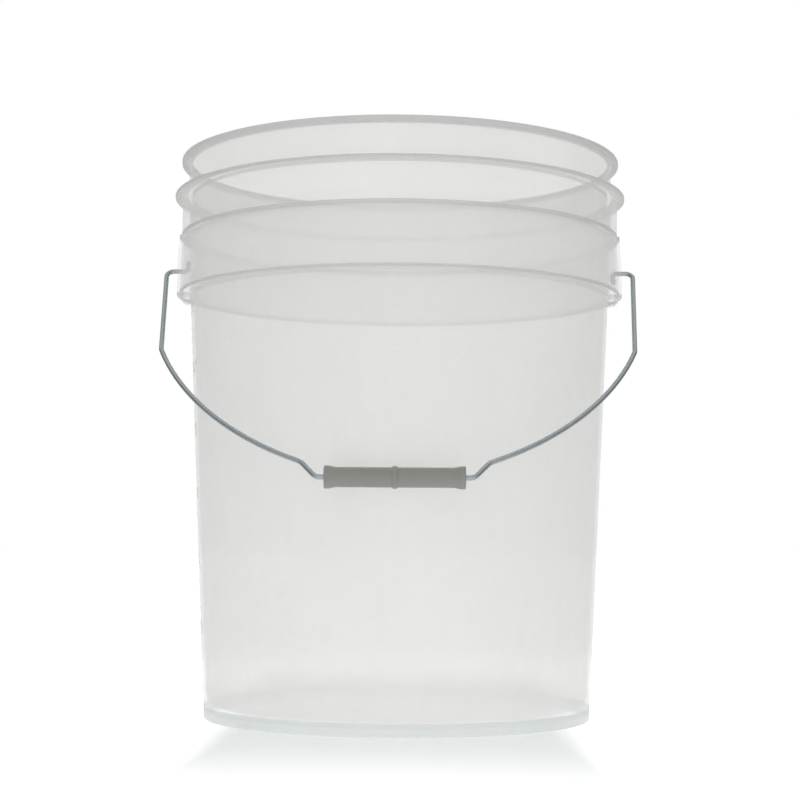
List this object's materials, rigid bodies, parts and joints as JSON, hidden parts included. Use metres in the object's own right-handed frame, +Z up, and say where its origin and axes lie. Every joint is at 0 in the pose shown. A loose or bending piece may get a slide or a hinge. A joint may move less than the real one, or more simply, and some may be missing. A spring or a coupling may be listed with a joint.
{
  "type": "plastic fermenting bucket",
  "caption": "Tapered translucent plastic bucket with a rim for a press-on lid, a flange, a stiffening skirt with ears, and a swinging wire bail with a turning hand grip.",
  "frame": {"origin": "centre of the foot ring, on the surface the bucket stands on", "axes": "+Z up through the open rim, X through the two ears, -Y towards the front wall that the bail rests against"},
  "size_m": [0.3262, 0.3104, 0.38],
  "materials": {
    "natural_plastic": "milky translucent moulding, faintly glossy, with fine scuffs",
    "zinc_wire": "bright zinc-plated drawn wire",
    "grip_plastic": "satin off-white moulding"
  },
  "bodies": {
    "bucket": {"bucket": "natural_plastic"},
    "bail": {"bail": "zinc_wire"},
    "grip": {"grip": "grip_plastic"}
  },
  "joints": [
    {"name": "bail_swing", "type": "hinge", "parent": "bucket", "child": "bail", "pos_m": [0, 0, 0.305], "axis": [-1, 0, 0], "range_deg": [0, 270.8]},
    {"name": "grip_spin", "type": "hinge", "parent": "bail", "child": "grip", "pos_m": [0, -0.14513, 0.15782], "axis": [1, 0, 0], "continuous": true}
  ]
}
